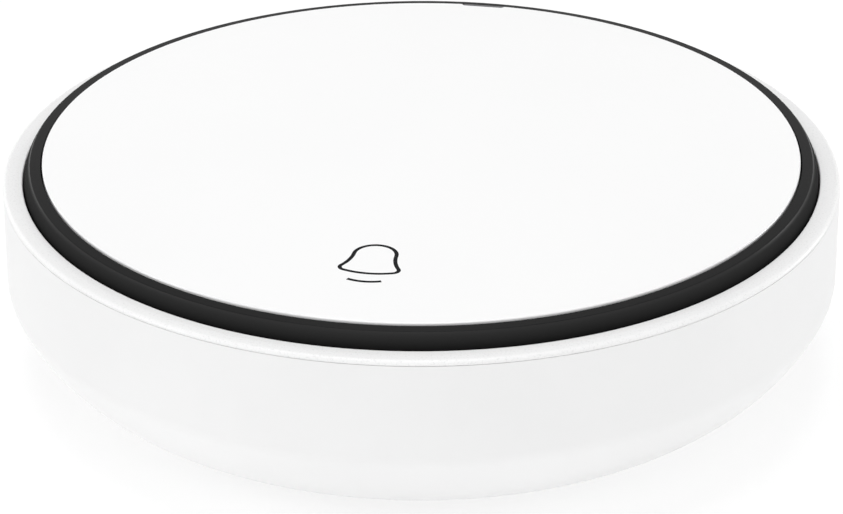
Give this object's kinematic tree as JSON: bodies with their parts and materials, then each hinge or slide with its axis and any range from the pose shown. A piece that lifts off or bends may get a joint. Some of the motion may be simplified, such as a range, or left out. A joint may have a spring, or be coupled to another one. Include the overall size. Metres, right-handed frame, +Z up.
{
  "type": "wireless call button",
  "caption": "Round battery-powered wireless call button for a table or counter, with a large press-down white cap, black ring and bell mark.",
  "frame": {"origin": "centre of the rest plane, under the foot ring", "axes": "+Z up through the middle of the cap, -Y towards the user at the bell mark, +Y towards the indicator window"},
  "size_m": [0.08, 0.08, 0.022],
  "materials": {
    "housing_white": "moulded ABS, very fine satin",
    "bezel_white": "moulded ABS, fine spark texture",
    "plate_white": "smooth white acrylic with a soft gloss",
    "carrier_black": "black ABS, semi-gloss on the ring",
    "mark_ink": "black ink",
    "window_smoke": "smoked polycarbonate",
    "frame_black": "black ABS",
    "foot_rubber": "matt grey silicone",
    "door_white": "moulded ABS, very fine satin",
    "seal_rubber": "black rubber",
    "pad_silicone": "translucent silicone",
    "tape_foam": "double-sided tape",
    "board_laminate": "green solder mask over glass laminate",
    "switch_black": "black nylon",
    "stem_plastic": "natural acetal",
    "sheet_steel": "stainless sheet",
    "spring_steel": "drawn spring wire",
    "screw_steel": "zinc-plated steel",
    "contact_metal": "nickel-plated spring brass",
    "cell_steel": "nickel-plated steel can",
    "holder_black": "black nylon",
    "antenna_copper": "tinned copper wire",
    "lamp_clear": "clear resin",
    "guide_clear": "clear polycarbonate",
    "chip_black": "moulded epoxy",
    "can_metal": "plated metal can",
    "chip_ceramic": "ceramic chip parts"
  },
  "bodies": {
    "housing": {"lower_housing": "housing_white", "top_bezel": "bezel_white", "inner_frame": "frame_black", "foot_ring": "foot_rubber", "case_screws": "screw_steel", "coin_cell": "cell_steel", "battery_holder": "holder_black", "positive_contact": "contact_metal", "negative_contact": "contact_metal", "circuit_board": "board_laminate", "switch_base": "switch_black", "switch_cover": "sheet_steel", "switch_dome": "sheet_steel", "switch_leads": "contact_metal", "status_lamp": "lamp_clear", "light_guide": "guide_clear", "antenna_loop": "antenna_copper", "radio_chip": "chip_black", "crystal_can": "can_metal", "chip_parts": "chip_ceramic", "return_springs": "spring_steel"},
    "cap": {"cap_carrier": "carrier_black", "face_plate": "plate_white", "bell_mark": "mark_ink", "plate_tape": "tape_foam", "indicator_window": "window_smoke", "press_pad": "pad_silicone"},
    "stem": {"switch_stem": "stem_plastic"},
    "door": {"battery_door": "door_white", "door_seal": "seal_rubber"}
  },
  "joints": [
    {"name": "cap_press", "type": "slide", "parent": "housing", "child": "cap", "axis": [0, 0, -1], "range_m": [0, 0.0006], "stiffness_N_per_m": 2500, "springref_m": -0.0004, "deforming": ["return_springs"]},
    {"name": "stem_press", "type": "slide", "parent": "housing", "child": "stem", "axis": [0, 0, -1], "range_m": [0, 0.0006], "deforming": ["switch_dome"]},
    {"name": "door_turn", "type": "hinge", "parent": "housing", "child": "door", "pos_m": [0, 0, 0.0005], "axis": [0, 0, -1], "range_deg": [0, 35]}
  ],
  "couplings": [
    {"joint": "stem_press", "follows": "cap_press", "ratio": 1}
  ]
}
